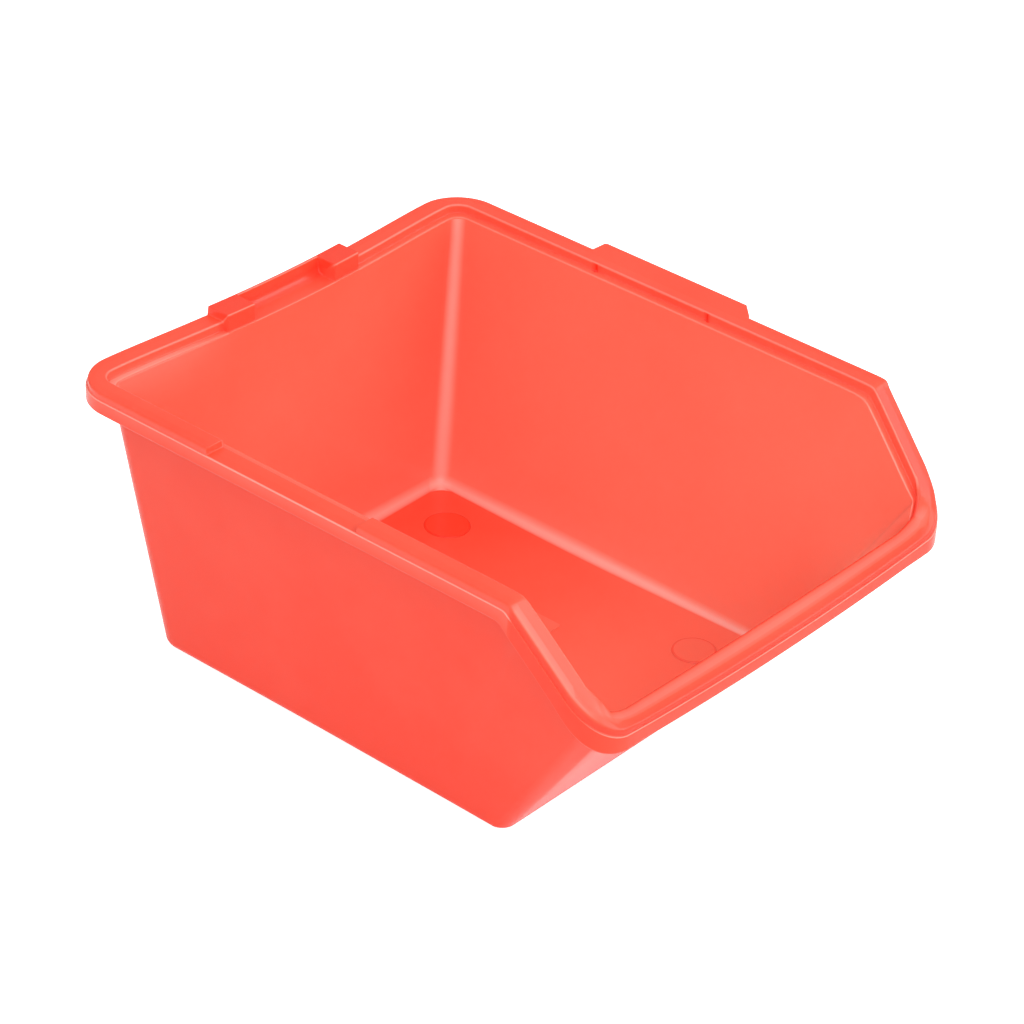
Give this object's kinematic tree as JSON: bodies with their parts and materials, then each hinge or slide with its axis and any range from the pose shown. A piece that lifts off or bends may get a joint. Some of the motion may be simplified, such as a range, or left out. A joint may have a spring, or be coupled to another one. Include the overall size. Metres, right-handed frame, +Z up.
{
  "type": "stackable storage bin",
  "caption": "Open-front stackable storage bin with drafted walls, a stepped rim with a hanging skirt, a side tab and notch, and a back clip.",
  "frame": {"origin": "on the underside of the floor, below the middle of the rim's length and width, the side tab left out", "axes": "+Z up, -Y towards the low open front, +X towards the side with the tab"},
  "size_m": [0.1442, 0.166, 0.0803],
  "materials": {
    "coral_plastic": "semi-translucent coral red polypropylene, satin to gloss as moulded"
  },
  "bodies": {
    "root": {"floor_panel": "coral_plastic", "left_wall": "coral_plastic", "right_wall": "coral_plastic", "back_wall": "coral_plastic", "front_wall": "coral_plastic", "back_left_corner": "coral_plastic", "back_right_corner": "coral_plastic", "front_left_corner": "coral_plastic", "front_right_corner": "coral_plastic", "back_rim": "coral_plastic", "front_rim": "coral_plastic", "left_rim": "coral_plastic", "right_rim": "coral_plastic", "left_slope_rim": "coral_plastic", "right_slope_rim": "coral_plastic", "side_tab": "coral_plastic", "back_left_lug": "coral_plastic", "back_right_lug": "coral_plastic", "back_lip": "coral_plastic", "back_left_floor_pad": "coral_plastic", "back_right_floor_pad": "coral_plastic", "front_left_floor_pad": "coral_plastic", "front_right_floor_pad": "coral_plastic", "floor_plate": "coral_plastic"}
  },
  "joints": []
}
